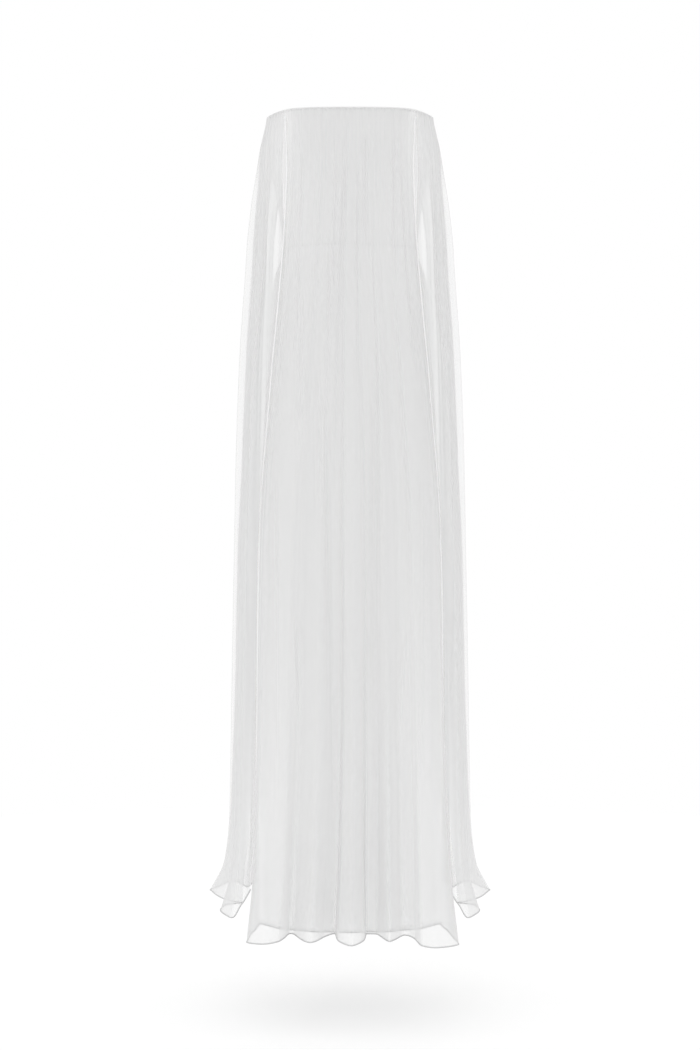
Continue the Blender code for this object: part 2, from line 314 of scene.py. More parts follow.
@dataclass(frozen=True)
class Gathers:
    """Small waves across a panel that start at its gathered edge and fade towards the hem.

    The wide waves stand at the pinched share of their depth in the gathered edge and reach all of
    it one pinch length below, and the hem keeps what fading leaves. The fine ones end near the top.
    """

    count: int
    fine_count: int
    depth: float
    fine_depth: float
    seed: int
    drift: Variation = Variation(0.0, 0.008, 5)
    drift_growth: float = 0.8
    strength: Variation = Variation(0.72, 0.22, 9)
    strength_range: tuple[float, float] = (0.2, 1.2)
    reach: Variation = Variation(0.715, 0.286, 7)
    least_reach: float = 0.2
    fading: float = 0.80
    pinch: float = 0.55
    pinch_length: float = 0.05
    fine_reach: Variation = Variation(0.13, 0.07, 11)
    least_fine_reach: float = 0.04
    fine_drift: float = 0.7
    fine_phase: float = 0.6

    def relief(self, shares: np.ndarray, drop: float, top: float) -> np.ndarray:
        """How far the gathers stand out along a row.

        Args:
            shares: the row's points.
            drop: the row's drop below the top edge.
            top: the drop of the gathered edge.

        Returns:
            The distance at each point.
        """
        below = drop - top
        drift = self.drift.across(shares, self.seed + Draw.DRIFT) * (1 + self.drift_growth * below)
        strength = self.strength.across(shares, self.seed + Draw.STRENGTH)
        reach = self.reach.across(shares, self.seed + Draw.REACH)
        fade = 1 - self.fading * smooth_step(below / np.maximum(reach, self.least_reach))
        rise = self.pinch + (1 - self.pinch) * smooth_step(below / self.pinch_length)
        wide = np.sin(math.pi * self.count * (shares + drift)) ** 2
        coarse = self.depth * np.clip(strength, *self.strength_range) * fade * rise * wide
        fine_reach = self.fine_reach.across(shares, self.seed + Draw.FINE_REACH)
        fine_fade = 1 - smooth_step(below / np.maximum(fine_reach, self.least_fine_reach))
        phase = math.pi * self.fine_count * (shares + drift * self.fine_drift) + self.fine_phase
        return coarse + self.fine_depth * fine_fade * np.sin(phase) ** 2


# Tables of form

CORSET_SECTIONS = (
    Section(PANEL_TOP, 0.1495, 0.1185, 0.0995, 0.0, 3.0),
    Section(0.045, 0.1478, 0.1170, 0.0975, 0.0, 2.7),
    Section(0.090, 0.1425, 0.1100, 0.0945, 0.0, 2.5),
    Section(0.130, 0.1355, 0.1010, 0.0915, 0.0, 2.4),
    Section(0.180, 0.1265, 0.0940, 0.0885, 0.0, 2.3),
    Section(WAIST_DROP, 0.1205, 0.0900, 0.0865, 0.0, 2.2),
)

SKIRT_SECTIONS = (
    Section(WAIST_DROP, 0.1205, 0.0900, 0.0865, 0.0, 2.2),
    Section(0.250, 0.1235, 0.0910, 0.0885, 0.0, 2.2),
    Section(0.285, 0.1340, 0.0950, 0.0970, 0.0, 2.2),
    Section(0.350, 0.1415, 0.1010, 0.1090, 0.0, 2.2),
    Section(0.450, 0.1470, 0.1060, 0.1170, 0.0, 2.2),
    Section(0.600, 0.1520, 0.1085, 0.1210, 0.0, 2.2),
    Section(0.800, 0.1550, 0.1100, 0.1250, 0.0, 2.2),
    Section(1.200, 0.1600, 0.1120, 0.1300, 0.0, 2.2),
    Section(SKIRT_DROP, 0.1640, 0.1130, 0.1350, 0.0, 2.2),
)

FRONT_SECTIONS = (
    Section(PANEL_TOP, 0.1514, 0.1204, 0.1014, 0.0, 3.0, -41.5, 41.5, 0.0),
    Section(0.050, 0.1510, 0.1285, 0.1017, 0.0, 2.8, -42.0, 42.0, 0.01),
    Section(0.120, 0.1480, 0.1310, 0.1017, 0.0, 2.5, -45.0, 45.0, 0.04),
    Section(0.240, 0.1420, 0.1315, 0.1017, 0.0, 2.5, -53.0, 53.0, 0.09),
    Section(0.360, 0.1445, 0.1315, 0.1017, 0.0, 2.55, -60.0, 60.0, 0.11),
    Section(0.480, 0.1490, 0.1315, 0.1017, 0.0, 2.6, -68.5, 68.5, 0.14),
    Section(0.760, 0.1650, 0.1325, 0.1017, 0.0, 2.6, -78.0, 78.0, 0.20),
    Section(1.050, 0.1690, 0.1335, 0.1017, -0.002, 2.6, -80.0, 80.0, 0.32),
    Section(1.330, 0.1700, 0.1330, 0.1017, -0.004, 2.6, -81.0, 81.0, 0.66),
    Section(LENGTH, 0.1690, 0.1330, 0.1017, -0.006, 2.6, -82.0, 82.0, 1.0),
)

SIDE_SECTIONS = (
    Section(PANEL_TOP, 0.1514, 0.1204, 0.1014, 0.0, 3.0, 42.2, 138.0, 0.0),
    Section(0.045, 0.1535, 0.1215, 0.1080, 0.0, 2.8, 43.5, 136.0, 0.13),
    Section(0.090, 0.1560, 0.1225, 0.1150, 0.0, 2.6, 45.5, 131.0, 0.20),
    Section(0.150, 0.1575, 0.1250, 0.1210, 0.0, 2.5, 46.3, 124.0, 0.32),
    Section(0.240, 0.1590, 0.1300, 0.1300, 0.002, 2.5, 48.5, 118.0, 0.44),
    Section(0.420, 0.1695, 0.1350, 0.1400, 0.005, 2.8, 54.0, 123.0, 0.48),
    Section(0.600, 0.1765, 0.1400, 0.1480, 0.015, 3.0, 60.5, 127.0, 0.50),
    Section(0.800, 0.1825, 0.1500, 0.1550, 0.035, 3.0, 62.5, 130.0, 0.50),
    Section(1.050, 0.1885, 0.1600, 0.1650, 0.055, 3.0, 65.0, 131.0, 0.50),
    Section(1.200, 0.1920, 0.1700, 0.1700, 0.070, 3.0, 66.0, 132.0, 0.50),
    Section(1.300, 0.1940, 0.1800, 0.1700, 0.085, 3.0, 66.0, 134.0, 0.53),
    Section(1.375, 0.1970, 0.1900, 0.1700, 0.095, 3.0, 65.0, 136.0, 0.63),
    Section(1.437, 0.2000, 0.1950, 0.1700, 0.100, 3.0, 64.0, 137.0, 1.0),
)

BACK_SECTIONS = (
    Section(PANEL_TOP, 0.1514, 0.1204, 0.1014, 0.0, 3.0, 138.8, 221.2, 0.0),
    Section(0.050, 0.1540, 0.1097, 0.1110, 0.0, 2.7, 139.0, 221.0, 0.03),
    Section(0.120, 0.1600, 0.1097, 0.1270, 0.0, 2.5, 140.0, 220.0, 0.10),
    Section(0.240, 0.1640, 0.1097, 0.1450, 0.0, 2.4, 141.0, 219.0, 0.20),
    Section(0.480, 0.1650, 0.1097, 0.1720, 0.003, 2.4, 141.0, 219.0, 0.35),
    Section(0.800, 0.1660, 0.1097, 0.1930, 0.010, 2.4, 141.0, 219.0, 0.50),
    Section(1.200, 0.1700, 0.1097, 0.2130, 0.022, 2.4, 140.0, 220.0, 0.72),
    Section(LENGTH, 0.1780, 0.1097, 0.2280, 0.030, 2.4, 139.0, 221.0, 1.0),
)

FRONT_TURNS = (
    Turn(0.000, -0.1610, -0.0580, 1.450),
    Turn(0.060, -0.1710, -0.1020, 1.453),
    Turn(0.130, -0.1785, -0.1780, 1.456),
    Turn(0.195, -0.1516, -0.1985, 1.456),
    Turn(0.250, -0.1240, -0.1865, 1.455),
    Turn(0.310, -0.1040, -0.1250, 1.453),
    Turn(0.385, -0.0690, -0.1900, 1.455),
    Turn(0.435, -0.0440, -0.1490, 1.454),
    Turn(0.468, -0.0270, -0.1270, 1.453),
    Turn(0.492, -0.0200, -0.1800, 1.454),
    Turn(0.518, 0.0020, -0.2130, 1.456),
    Turn(0.545, 0.0225, -0.1780, 1.454),
    Turn(0.570, 0.0285, -0.1270, 1.453),
    Turn(0.603, 0.0460, -0.1280, 1.453),
    Turn(0.650, 0.0680, -0.1840, 1.455),
    Turn(0.700, 0.0960, -0.1340, 1.454),
    Turn(0.740, 0.1135, -0.1600, 1.455),
    Turn(0.780, 0.1245, -0.2120, 1.456),
    Turn(0.830, 0.1500, -0.2240, 1.457),
    Turn(0.885, 0.1870, -0.1970, 1.456),
    Turn(0.945, 0.1740, -0.1180, 1.453),
    Turn(1.000, 0.1610, -0.0580, 1.450),
)

SIDE_TURNS = (
    Turn(0.000, 0.1790, -0.0380, 1.392),
    Turn(0.060, 0.1940, -0.0700, 1.412),
    Turn(0.130, 0.2100, -0.0740, 1.435),
    Turn(0.210, 0.2360, 0.0050, 1.437),
    Turn(0.260, 0.2260, 0.0580, 1.437),
    Turn(0.310, 0.1980, 0.0700, 1.436),
    Turn(0.360, 0.2250, 0.0880, 1.436),
    Turn(0.430, 0.2500, 0.1450, 1.437),
    Turn(0.490, 0.2645, 0.1930, 1.437),
    Turn(0.510, 0.2680, 0.2050, 1.437),
    Turn(0.530, 0.2645, 0.2170, 1.437),
    Turn(0.590, 0.2490, 0.2680, 1.438),
    Turn(0.640, 0.2300, 0.3050, 1.438),
    Turn(0.710, 0.2010, 0.2500, 1.440),
    Turn(0.780, 0.1960, 0.2850, 1.441),
    Turn(0.850, 0.1860, 0.3350, 1.443),
    Turn(0.920, 0.1620, 0.3150, 1.445),
    Turn(1.000, 0.1560, 0.2550, 1.447),
)

BACK_TURNS = (
    Turn(0.000, 0.1340, 0.2350, 1.449),
    Turn(0.110, 0.1140, 0.2850, 1.453),
    Turn(0.230, 0.0800, 0.2380, 1.452),
    Turn(0.350, 0.0430, 0.2920, 1.456),
    Turn(0.470, 0.0130, 0.2450, 1.454),
    Turn(0.590, -0.0240, 0.3000, 1.457),
    Turn(0.700, -0.0600, 0.2400, 1.453),
    Turn(0.800, -0.0900, 0.2860, 1.455),
    Turn(0.900, -0.1130, 0.2420, 1.451),
    Turn(1.000, -0.1360, 0.2600, 1.449),
)

TOP_RISE = (
    Rise(0.000, 0.0020),
    Rise(0.050, 0.0020),
    Rise(0.104, 0.0022),
    Rise(0.125, 0.0004),
    Rise(0.140, -0.0012),
    Rise(0.152, 0.0),
)

FRONT_CREASES = (
    Crease(0.331, 0.452, 0.16, 1.40, -0.0065, 0.019, 0.035),
    Crease(0.697, 0.614, 0.07, 1.43, -0.0056, 0.018, -0.055),
    Crease(0.464, 0.444, 0.04, 0.82, -0.0038, 0.013, -0.010),
    Crease(0.482, 0.500, 0.06, 1.00, 0.0038, 0.018, -0.012),
    Crease(0.617, 0.600, 0.03, 0.26, -0.0035, 0.012),
    Crease(0.850, 0.780, 0.03, 0.36, -0.0035, 0.013),
    Crease(0.208, 0.272, 0.30, 0.66, -0.0038, 0.015),
    Crease(0.333, 0.378, 0.46, 0.74, -0.0026, 0.012, 0.005),
    Crease(0.262, 0.300, 0.88, 1.10, 0.0035, 0.012),
    Crease(0.748, 0.695, 0.90, 1.18, 0.0035, 0.012, -0.006),
    Crease(0.592, 0.583, 1.20, 1.40, -0.0038, 0.015),
    Crease(0.120, 0.190, 0.05, 0.48, -0.0035, 0.013, 0.006),
    Crease(0.905, 0.860, 0.06, 0.52, -0.0038, 0.015, -0.005),
    Crease(0.560, 0.545, 0.08, 0.58, -0.0030, 0.013),
    Crease(0.400, 0.412, 0.05, 0.40, -0.0030, 0.012),
    Crease(0.770, 0.735, 0.25, 0.95, -0.0035, 0.017, -0.004),
    Crease(0.150, 0.215, 0.62, 1.36, -0.0048, 0.018, 0.010),
    Crease(0.850, 0.800, 0.60, 1.30, -0.0043, 0.018, -0.006),
)

SIDE_CREASES = (
    Crease(0.510, 0.510, 0.00, 0.80, 0.0060, 0.010),
    Crease(0.510, 0.510, 0.00, 0.80, -0.0054, 0.090),
    Crease(0.510, 0.510, 0.00, 1.42, 0.0070, 0.010),
    Crease(0.510, 0.510, 0.00, 1.42, -0.0064, 0.080),
    Crease(0.000, 0.000, 0.10, 1.38, -0.0115, 0.085),
    Crease(0.165, 0.150, 0.04, 0.55, -0.0045, 0.016),
    Crease(0.300, 0.310, 0.10, 1.30, -0.0070, 0.022, -0.010),
    Crease(0.380, 0.370, 0.05, 0.72, -0.0040, 0.016, 0.006),
    Crease(0.560, 0.575, 0.30, 1.35, -0.0050, 0.020, 0.008),
    Crease(0.660, 0.690, 0.06, 1.10, -0.0060, 0.020, -0.012),
    Crease(0.790, 0.770, 0.12, 0.80, -0.0045, 0.016),
    Crease(0.910, 0.900, 0.05, 1.20, -0.0045, 0.018, 0.010),
)

BACK_CREASES = (
    Crease(0.130, 0.210, 0.08, 1.20, -0.0060, 0.016, 0.010),
    Crease(0.290, 0.260, 0.05, 0.60, -0.0040, 0.011),
    Crease(0.440, 0.470, 0.12, 1.38, -0.0070, 0.014, -0.014),
    Crease(0.570, 0.585, 0.06, 0.72, 0.0045, 0.012),
    Crease(0.690, 0.700, 0.20, 1.40, -0.0065, 0.014, 0.012),
    Crease(0.830, 0.800, 0.05, 0.50, -0.0045, 0.011, -0.006),
    Crease(0.905, 0.900, 0.30, 1.25, -0.0050, 0.014, 0.008),
)

FRONT_FULLNESS = (
    Fullness(0.00, 2.3),
    Fullness(0.50, 2.1),
    Fullness(0.95, 1.9),
    Fullness(1.25, 1.45),
    Fullness(1.38, 1.35),
    Fullness(LENGTH, 1.50),
)

SIDE_FULLNESS = (
    Fullness(0.00, 2.1),
    Fullness(0.25, 1.5),
    Fullness(0.80, 1.3),
    Fullness(1.10, 1.3),
    Fullness(1.30, 1.15),
    Fullness(1.44, 1.0),
)

BACK_FULLNESS = (
    Fullness(0.00, 2.4),
    Fullness(0.60, 2.1),
    Fullness(1.10, 1.8),
    Fullness(1.35, 1.3),
    Fullness(LENGTH, 1.1),
)

SIDE_TUCKS = (
    Tuck(0.130, 0.0, 0.0),
    Tuck(0.194, -0.0062, 0.0030),
    Tuck(0.247, -0.0145, 0.0090),
    Tuck(0.300, -0.0185, 0.0165),
    Tuck(0.390, -0.0234, 0.0228),
    Tuck(0.513, -0.0220, 0.0268),
    Tuck(0.602, -0.0212, 0.0244),
    Tuck(0.691, -0.0190, 0.0196),
    Tuck(0.868, -0.0200, 0.0060),
    Tuck(1.046, -0.0220, -0.0055),
    Tuck(1.223, -0.0195, -0.0160),
    Tuck(1.330, -0.0100, -0.0100),
    Tuck(1.410, 0.0, 0.0),
)

FRONT_TUCKS = (
    Tuck(0.130, 0.0, 0.0),
    Tuck(0.250, 0.0, -0.0070),
    Tuck(0.400, 0.0, -0.0160),
    Tuck(0.600, 0.0, -0.0220),
    Tuck(1.050, 0.0, -0.0230),
    Tuck(1.230, 0.0, -0.0190),
    Tuck(1.330, 0.0, -0.0100),
    Tuck(1.420, 0.0, 0.0),
)

SIDE_LOOP = ClearLoop(0.510, 0.510, 0.020, 0.55)

FRONT_GATHERS = Gathers(17, 47, 0.0017, 0.00015, 11)
SIDE_GATHERS = Gathers(11, 31, 0.0020, 0.0002, 23)
BACK_GATHERS = Gathers(18, 41, 0.0024, 0.0003, 37)
SKIRT_GATHERS = Gathers(15, 36, 0.0026, 0.0003, 51)

BINDING_SECTION = Section(0.0, 0.1490, 0.1180, 0.0990, 0.0, 3.0, -180, 180)

CORSET_CUTS = (
    Cut("corset_front", -89.9, 89.9, 0.42, 0.23),
    Cut("corset_back_left", 90.1, 179.9, 0.20, 0.23),
    Cut("corset_back_right", 180.1, 269.9, 0.20, 0.23),
)

SKIRT_CUTS = (
    Cut("skirt_front", -89.85, 89.85, 0.42, 1.215),
    Cut("skirt_back", 90.15, 269.85, 0.44, 1.215),
)


# Paths round the body


def section_at(sections: Sequence[Section], drop: float) -> Section:
    """Reads the section at any drop.

    Args:
        sections: the table, from the top down.
        drop: how far below the top edge.

    Returns:
        The section there.
    """
    names = [column.name for column in fields(Section) if column.name != "drop"]
    return Section(drop=drop, **{name: read_drop(sections, name, drop) for name in names})


def outward_ways(points: np.ndarray, closed: bool = False) -> np.ndarray:
    """Finds the outward way in plan at each point of a row, square to the row.

    Args:
        points: x and y of each point, in turning order seen from above.
        closed: whether the last point is followed by the first.

    Returns:
        A unit vector for each point.
    """
    if closed:
        onward = np.roll(points, -1, axis=0) - np.roll(points, 1, axis=0)
    else:
        onward = np.gradient(points, axis=0)
    onward = onward / np.maximum(np.linalg.norm(onward, axis=1, keepdims=True), 1e-9)
    return np.stack([onward[:, 1], -onward[:, 0]], axis=1)


def plan_path(section: Section, shares: np.ndarray) -> tuple[np.ndarray, np.ndarray]:
    """Lays points along a section's path in plan.

    Args:
        section: the superellipse and the stretch of it to follow.
        shares: rising shares of the path's length.

    Returns:
        The points, and the outward way at each, as arrays of x and y.
    """
    angles = np.radians(np.linspace(section.start, section.end, PATH_STEPS))
    power = 2 / section.squareness
    side, ahead = np.sin(angles), np.cos(angles)
    depth = np.where(ahead > 0, section.front, section.back)
    x = np.sign(side) * np.abs(side) ** power * section.half_width
    y = section.centre - np.sign(ahead) * np.abs(ahead) ** power * depth
    along = np.concatenate([[0.0], np.cumsum(np.hypot(np.diff(x), np.diff(y)))])
    places = shares * along[-1]
    points = np.stack([np.interp(places, along, x), np.interp(places, along, y)], axis=1)
    return points, outward_ways(points)


def top_rise(points: np.ndarray, drop: float) -> np.ndarray:
    """How far points are lifted at a drop, because the top edge is cut higher over the bust.

    Args:
        points: x and y of each point.
        drop: their drop below the top edge.

    Returns:
        The lift of each point.
    """
    lift = read_rows(TOP_RISE, "x", "height", np.abs(points[:, 0]))
    return lift * smooth_step(-points[:, 1] / RISE_FRONT) * (1 - smooth_step(drop / RISE_FADE))


def cut_grid(
    sections: Sequence[Section],
    cut: Cut,
    drops: np.ndarray,
    shares: np.ndarray,
    relief: Callable[[np.ndarray, float], np.ndarray],
) -> np.ndarray:
    """Lays out the points of one close-fitting piece.

    Args:
        sections: the table of its form, from the top down.
        cut: the piece, with the angles that it spans.
        drops: the drop of each row.
        shares: the columns, from 0 to 1 across the piece.
        relief: gives how far each point of a row stands out, from the shares and the drop.

    Returns:
        Rows of points from the top down.
    """
    rows = []
    for drop in drops:
        section = replace(section_at(sections, drop), start=cut.start, end=cut.end)
        points, outward = plan_path(section, shares)
        z = top_rise(points, drop) - drop
        points = points + outward * relief(shares, drop)[:, None]
        rows.append(np.column_stack([points, z]))
    return np.array(rows)


# Building cloth


def new_object(name: str, data: bpy.types.Mesh | bpy.types.Curve) -> bpy.types.Object:
    """Puts a mesh or a curve into the scene as an object at the origin.

    Args:
        name: the object's name.
        data: the mesh or the curve.

    Returns:
        The new object.
    """
    made = bpy.data.objects.new(name, data)
    bpy.context.scene.collection.objects.link(made)
    return made


def select_only(piece: bpy.types.Object) -> None:
    """Selects one piece alone and makes it the active one.

    Args:
        piece: the piece.
    """
    bpy.ops.object.select_all(action="DESELECT")
    bpy.context.view_layer.objects.active = piece
    piece.select_set(True)


def cut_map(rows: int, wide: int, flat: tuple[float, float]) -> np.ndarray:
    """Lays a flat cut out as a UV map in metres.

    Args:
        rows: how many rows of points the grid has.
        wide: how many faces lie in a row.
        flat: the cut's width and length.

    Returns:
        The place on the cut of each corner of each face.
    """
    across = np.arange(wide + 1) / wide * flat[0]
    down = -np.linspace(0, flat[1], rows)
    u = np.stack([across[:-1], across[:-1], across[1:], across[1:]], axis=-1)
    u = np.broadcast_to(u, (rows - 1, wide, 4)).reshape(-1)
    v = np.stack([down[:-1], down[1:], down[1:], down[:-1]], axis=-1)
    v = np.broadcast_to(v[:, None, :], (rows - 1, wide, 4)).reshape(-1)
    return np.stack([u, v], axis=1)


def cloth_mesh(
    name: str, grid: np.ndarray, flat: tuple[float, float], closed: bool = False
) -> bpy.types.Object:
    """Makes a cloth surface on a grid of points, with its flat cut as its UV map.

    Args:
        name: the object's name.
        grid: rows of points from the top down, columns in turning order seen from above.
        flat: the cut's width and length.
        closed: whether the last column joins the first.

    Returns:
        The new object, its faces outwards.
    """
    rows, columns = grid.shape[:2]
    order = np.arange(rows * columns).reshape(rows, columns)
    after = np.roll(order, -1, axis=1) if closed else order[:, 1:]
    here = order if closed else order[:, :-1]
    quads = np.stack([here[:-1], here[1:], after[1:], after[:-1]], axis=-1).reshape(-1, 4)
    mesh = bpy.data.meshes.new(name)
    mesh.from_pydata(grid.reshape(-1, 3).tolist(), [], quads.tolist())
    layer = mesh.uv_layers.new(name="cut")
    layer.data.foreach_set("uv", cut_map(rows, here.shape[1], flat).astype(np.float32).ravel())
    mesh.shade_smooth()
    mesh.update()
    return new_object(name, mesh)


def thicken(piece: bpy.types.Object, thickness: float) -> None:
    """Gives a cloth surface a wall, half of it on each side, and applies it.

    Args:
        piece: the surface.
        thickness: the wall's thickness.
    """
    wall = piece.modifiers.new("wall", "SOLIDIFY")
    wall.thickness = thickness
    wall.offset = 0.0
    select_only(piece)
    bpy.ops.object.modifier_apply(modifier=wall.name)
    piece.select_set(False)


def rolled_edge(
    name: str, path: np.ndarray, radius: float, taper: Optional[np.ndarray] = None
) -> bpy.types.Object:
    """Makes the narrow roll of a hand-rolled hem along a path, as a bevelled curve made a mesh.

    Args:
        name: the object's name.
        path: the points of the edge.
        radius: half the roll's thickness.
        taper: the share of the radius at each point, all of it when not given.

    Returns:
        The new object.
    """
    curve = bpy.data.curves.new(name, "CURVE")
    curve.dimensions = "3D"
    spline = curve.splines.new("POLY")
    spline.points.add(len(path) - 1)
    places = np.column_stack([path, np.ones(len(path))])
    spline.points.foreach_set("co", places.astype(np.float32).ravel())
    if taper is not None:
        spline.points.foreach_set("radius", taper.astype(np.float32))
    curve.bevel_depth = radius
    curve.bevel_resolution = ROLL_RESOLUTION
    curve.use_fill_caps = True
    select_only(new_object(name, curve))
    bpy.ops.object.convert(target="MESH")
    made = bpy.context.view_layer.objects.active
    made.data.shade_smooth()
    made.select_set(False)
    return made


# Finishes


def linear_colour(code: str) -> tuple[float, float, float, float]:
    """Turns an sRGB hex colour into the linear colour that a shader takes.

    Args:
        code: six hex digits.

    Returns:
        Red, green, blue and a whole alpha.
    """
    parts = [int(code[n : n + 2], 16) / 255 for n in (0, 2, 4)]
    red, green, blue = (p / 12.92 if p <= 0.04045 else ((p + 0.055) / 1.055) ** 2.4 for p in parts)
    return red, green, blue, 1.0


def add_node(
    tree: bpy.types.NodeTree,
    kind: str,
    settings: Optional[dict[str, object]] = None,
    inputs: Optional[dict[str | int, object]] = None,
) -> bpy.types.Node:
    """Adds a node with its settings, and sets or links its inputs.

    Args:
        tree: the node tree.
        kind: the node's type name.
        settings: attributes to set.
        inputs: values to set, or output sockets to link, by input name or number.

    Returns:
        The new node.
    """
    node = tree.nodes.new(kind)
    for key, value in (settings or {}).items():
        setattr(node, key, value)
    for key, value in (inputs or {}).items():
        if isinstance(value, bpy.types.NodeSocket):
            tree.links.new(value, node.inputs[key])
        else:
            node.inputs[key].default_value = value
    return node


def new_material(name: str, shading: dict[str, object]) -> bpy.types.Material:
    """Makes a material whose shader has constants on its own sockets.

    Args:
        name: the material's name.
        shading: the constants, by socket name.

    Returns:
        The new material.
    """
    material = bpy.data.materials.new(name)
    material.use_nodes = True
    shader = material.node_tree.nodes["Principled BSDF"]
    for socket, value in shading.items():
        shader.inputs[socket].default_value = value
    return material


def yarn_noise(
    tree: bpy.types.NodeTree, width: float, length: float, detail: float
) -> bpy.types.NodeSocket:
    """Adds the nodes for long grains that run down a cloth's flat cut.

    Args:
        tree: the material's node tree.
        width: how wide a grain is.
        length: how long a grain is.
        detail: how many finer layers of noise lie on it.

    Returns:
        The socket that gives the grain's tone.
    """
    uv = add_node(tree, "ShaderNodeUVMap", {"uv_map": "cut"})
    stretched = {"Vector": uv.outputs[0], "Scale": (1 / width, 1 / length, 1)}
    mapping = add_node(tree, "ShaderNodeMapping", {}, stretched)
    drawn = {"Vector": mapping.outputs[0], "Scale": 1.0, "Detail": detail}
    return add_node(tree, "ShaderNodeTexNoise", {"noise_dimensions": "2D"}, drawn).outputs["Fac"]


@dataclass(frozen=True)
class SheerCloth:
    """Silk chiffon: crepe-twisted yarns in an open plain weave, so it is matt and see-through.

    One layer hides a quarter of what is behind it. The eye sees a pale veil that thickens to an
    even soft white where gathers lay it several times over or where it is seen edge on.
    """

    name: str = "silk chiffon, open plain weave"
    colour: str = "E8E8E8"
    roughness: float = 0.95
    gloss: float = 0.15
    cover: float = 0.25
    glow: float = 0.45
    edge_on: float = 0.10
    streak_width: float = 0.0012
    streak_length: float = 0.048
    streak_detail: float = 2.0
    streak_strength: float = 0.002

    def material(self) -> bpy.types.Material:
        """Makes the material: gaps, and yarns that send light back and let some of it through.

        Returns:
            The new material.
        """
        colour = linear_colour(self.colour)
        material = new_material(
            self.name,
            {"Base Color": colour, "Roughness": self.roughness, "Specular IOR Level": self.gloss},
        )
        tree = material.node_tree
        front = tree.nodes["Principled BSDF"]
        through = add_node(tree, "ShaderNodeBsdfTranslucent", {}, {"Color": colour})
        both = {0: self.glow, 1: front.outputs[0], 2: through.outputs[0]}
        yarns = add_node(tree, "ShaderNodeMixShader", {}, both)
        gaps = add_node(tree, "ShaderNodeBsdfTransparent")
        both = {0: self.covering(tree), 1: gaps.outputs[0], 2: yarns.outputs[0]}
        cloth = add_node(tree, "ShaderNodeMixShader", {}, both)
        tree.links.new(cloth.outputs[0], tree.nodes["Material Output"].inputs["Surface"])
        return material

    def covering(self, tree: bpy.types.NodeTree) -> bpy.types.NodeSocket:
        """Adds the nodes for the share that the yarns cover.

        Each layer leaves the same share clear, and a slanting look passes through more of it.

        Args:
            tree: the material's node tree.

        Returns:
            The socket that gives the share.
        """
        # With a blend of one half, Facing is 1 less the cosine of the angle of sight
        facing = add_node(tree, "ShaderNodeLayerWeight", {}, {"Blend": 0.5})
        full = add_node(tree, "ShaderNodeAttribute", {"attribute_name": "fullness"})
        # Yarns lie 0.1 mm apart, too fine to show, so their unevenness is drawn as faint streaks
        noise = yarn_noise(tree, self.streak_width, self.streak_length, self.streak_detail)
        spread = {0: noise, 1: 2 * self.streak_strength, 2: -self.streak_strength}
        streak = add_node(tree, "ShaderNodeMath", {"operation": "MULTIPLY_ADD"}, spread)
        # In turn: the cosine of the angle of sight, the same held off zero, the layers looked
        # through, the share they leave clear, the share they cover, and that with the streaks.
        # None stands for the result of the step before
        steps = (
            ("SUBTRACT", 1.0, None),
            ("MAXIMUM", None, self.edge_on),
            ("DIVIDE", full.outputs["Fac"], None),
            ("POWER", 1 - self.cover, None),
            ("SUBTRACT", 1.0, None),
            ("ADD", None, streak.outputs[0]),
        )
        value = facing.outputs["Facing"]
        for operation, *terms in steps:
            numbers = {n: value if term is None else term for n, term in enumerate(terms)}
            value = add_node(tree, "ShaderNodeMath", {"operation": operation}, numbers).outputs[0]
        return value


@dataclass(frozen=True)
class DenseCloth:
    """An opaque woven silk: matt for lining crepe, or smooth and faintly glossy for satin.

    Yarns lie about 0.1 mm apart, too fine to show, so the grain is drawn at 0.5 to 0.6 mm.
    """

    name: str
    colour: str
    roughness: float
    gloss: float
    grain: float
    relief: float
    grain_slenderness: float = 4.0
    grain_detail: float = 3.0
    shade: float = 0.994
    bump: float = 0.15
    sheen: float = 0.1
    sheen_roughness: float = 0.4

    def material(self) -> bpy.types.Material:
        """Makes the material, its weave as a fine bump in the cloth's own directions.

        Returns:
            The new material.
        """
        shading = {
            "Roughness": self.roughness,
            "Specular IOR Level": self.gloss,
            "Sheen Weight": self.sheen,
            "Sheen Roughness": self.sheen_roughness,
        }
        material = new_material(self.name, shading)
        tree = material.node_tree
        shader = tree.nodes["Principled BSDF"]
        length = self.grain_slenderness * self.grain
        weave = yarn_noise(tree, self.grain, length, self.grain_detail)
        light = linear_colour(self.colour)
        dark = [part * self.shade for part in light[:3]] + [1.0]
        tones = {"Factor": weave, "A": dark, "B": light}
        tint = add_node(tree, "ShaderNodeMix", {"data_type": "RGBA"}, tones)
        tree.links.new(tint.outputs["Result"], shader.inputs["Base Color"])
        raised = {"Height": weave, "Strength": self.bump, "Distance": self.relief}
        bump = add_node(tree, "ShaderNodeBump", {}, raised)
        tree.links.new(bump.outputs["Normal"], shader.inputs["Normal"])
        return material


class Finish(Enum):
    """The gown's cloths, each with what it gives the eye."""

    # An even veil: soft white where it is dense, nearly clear in one layer
    CHIFFON = SheerCloth()
    # Several layers rolled up, coloured grey as painted shade: a thin darker line along the hem
    ROLL = DenseCloth("silk chiffon, hand-rolled hem, grey for painted shade", "CACACA", 0.9, 0.1, 0.0006, 0.00004)
    # One narrow fold, coloured whiter than the chiffon as a painted highlight: a thin bright line
    # down a free edge
    EDGE = DenseCloth("silk chiffon, narrow turned edge", "FCFCFC", 0.9, 0.1, 0.0006, 0.00004)
    # Matt and opaque, white without a highlight
    LINING = DenseCloth("silk crepe lining, plain weave", "F8F8F8", 0.85, 0.15, 0.0006, 0.00005)
    # Smooth, with a wide and faint highlight over the cups
    SATIN = DenseCloth("silk satin, woven with long floats", "F8F8F8", 0.55, 0.20, 0.0005, 0.00003)
    # Matt folded crepe, a little darker than the chiffon below it
    BINDING = DenseCloth(
        "silk crepe, cut on the bias and folded", "E8E8E8", 0.8, 0.2, 0.0006, 0.00005
    )


